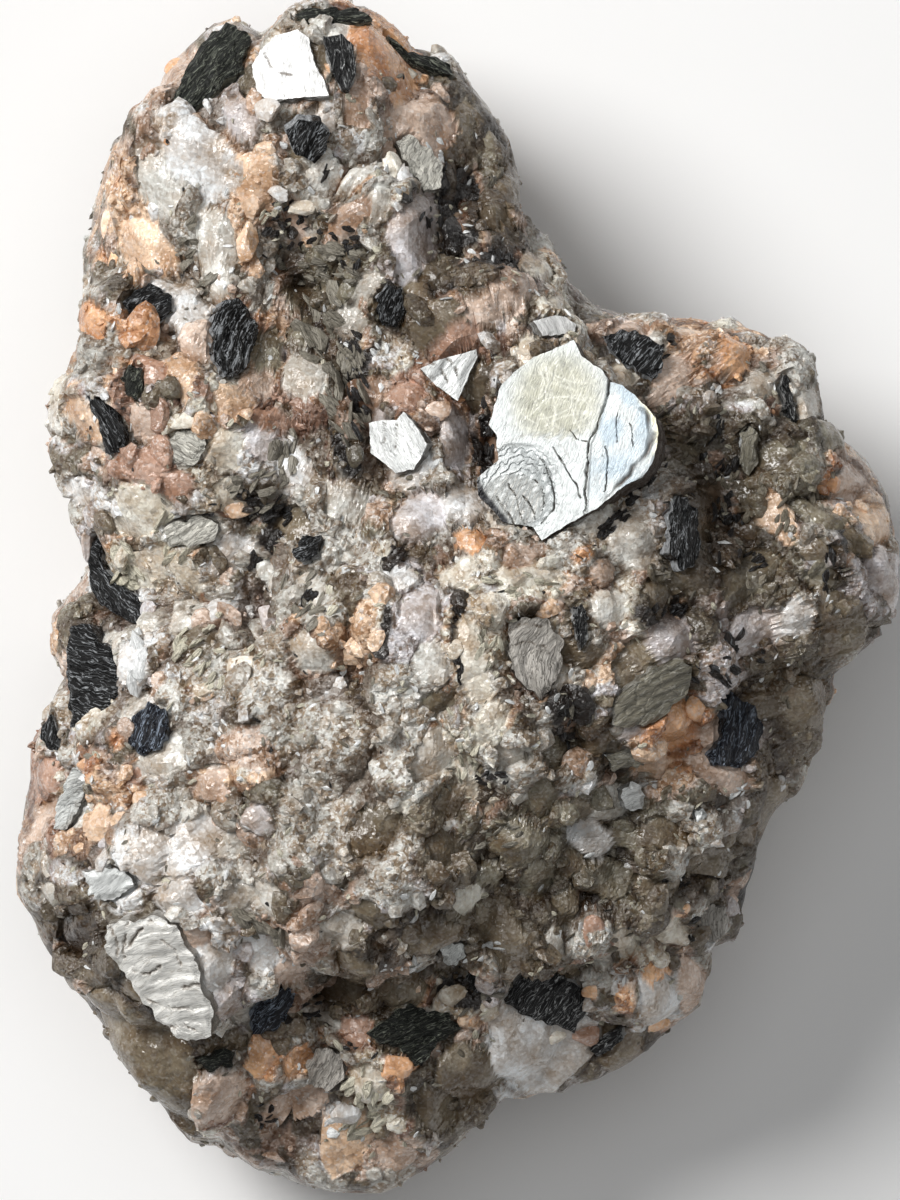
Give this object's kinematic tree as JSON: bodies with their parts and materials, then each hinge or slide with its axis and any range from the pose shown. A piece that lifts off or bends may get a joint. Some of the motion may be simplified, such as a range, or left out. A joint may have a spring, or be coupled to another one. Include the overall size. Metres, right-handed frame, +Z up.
{
  "type": "granite hand specimen with mica crystals",
  "caption": "Irregular lump of coarse granite with books of silver and black mica set in quartz and pink feldspar, resting on a flat foot.",
  "frame": {"origin": "middle of the bounding box in X and Y, at the level of the flat foot", "axes": "+Z up out of the shown face, +Y along the length towards the narrow head, +X to the right of the shown face"},
  "size_m": [0.0887, 0.1201, 0.0484],
  "materials": {
    "granite": "broken, granular, glassy grains",
    "silver_mica": "pearly, bright",
    "pale_mica": "pearly, satin",
    "black_mica": "glossy black, striated"
  },
  "bodies": {
    "root": {"granite_matrix": "granite", "silver_plate_large": "silver_mica", "silver_chip_above_plate": "silver_mica", "silver_plate_top": "silver_mica", "silver_plate_middle": "silver_mica", "silver_wedge": "silver_mica", "silver_chip_lower_left": "silver_mica", "silver_flaky_book_lower_left": "silver_mica", "silver_round_flake": "silver_mica", "silver_flake_right": "silver_mica", "silver_flake_foot": "silver_mica", "pale_book_centre": "pale_mica", "pale_book_right": "pale_mica", "pale_flake_right": "pale_mica", "grey_fan_foot": "pale_mica", "silver_grey_fan_left": "pale_mica", "pale_book_left": "pale_mica", "pale_book_upper_left": "pale_mica", "pale_book_far_right": "pale_mica", "pale_book_head": "pale_mica", "grey_book_foot": "pale_mica", "black_book_top_left": "black_mica", "black_ridge_top": "black_mica", "black_ridge_top_right": "black_mica", "black_block_beside_top_plate": "black_mica", "black_nugget_head": "black_mica", "black_book_upper_left": "black_mica", "black_streaked_oval": "black_mica", "black_book_by_seam": "black_mica", "black_spur_left": "black_mica", "black_wedge_upper_left": "black_mica", "black_crescent_left": "black_mica", "black_square_left": "black_mica", "black_speckled_left": "black_mica", "black_book_left_edge": "black_mica", "black_book_inner_left": "black_mica", "black_book_above_plate": "black_mica", "black_drop_right_of_plate": "black_mica", "black_band_right": "black_mica", "blue_black_book_right": "black_mica", "streaked_book_centre": "black_mica", "black_book_foot_middle": "black_mica", "black_book_foot_right": "black_mica", "black_book_under_ledge": "black_mica", "black_book_foot_left": "black_mica", "black_sliver_foot": "black_mica", "black_flake_below_flaky_book": "black_mica"}
  },
  "joints": []
}
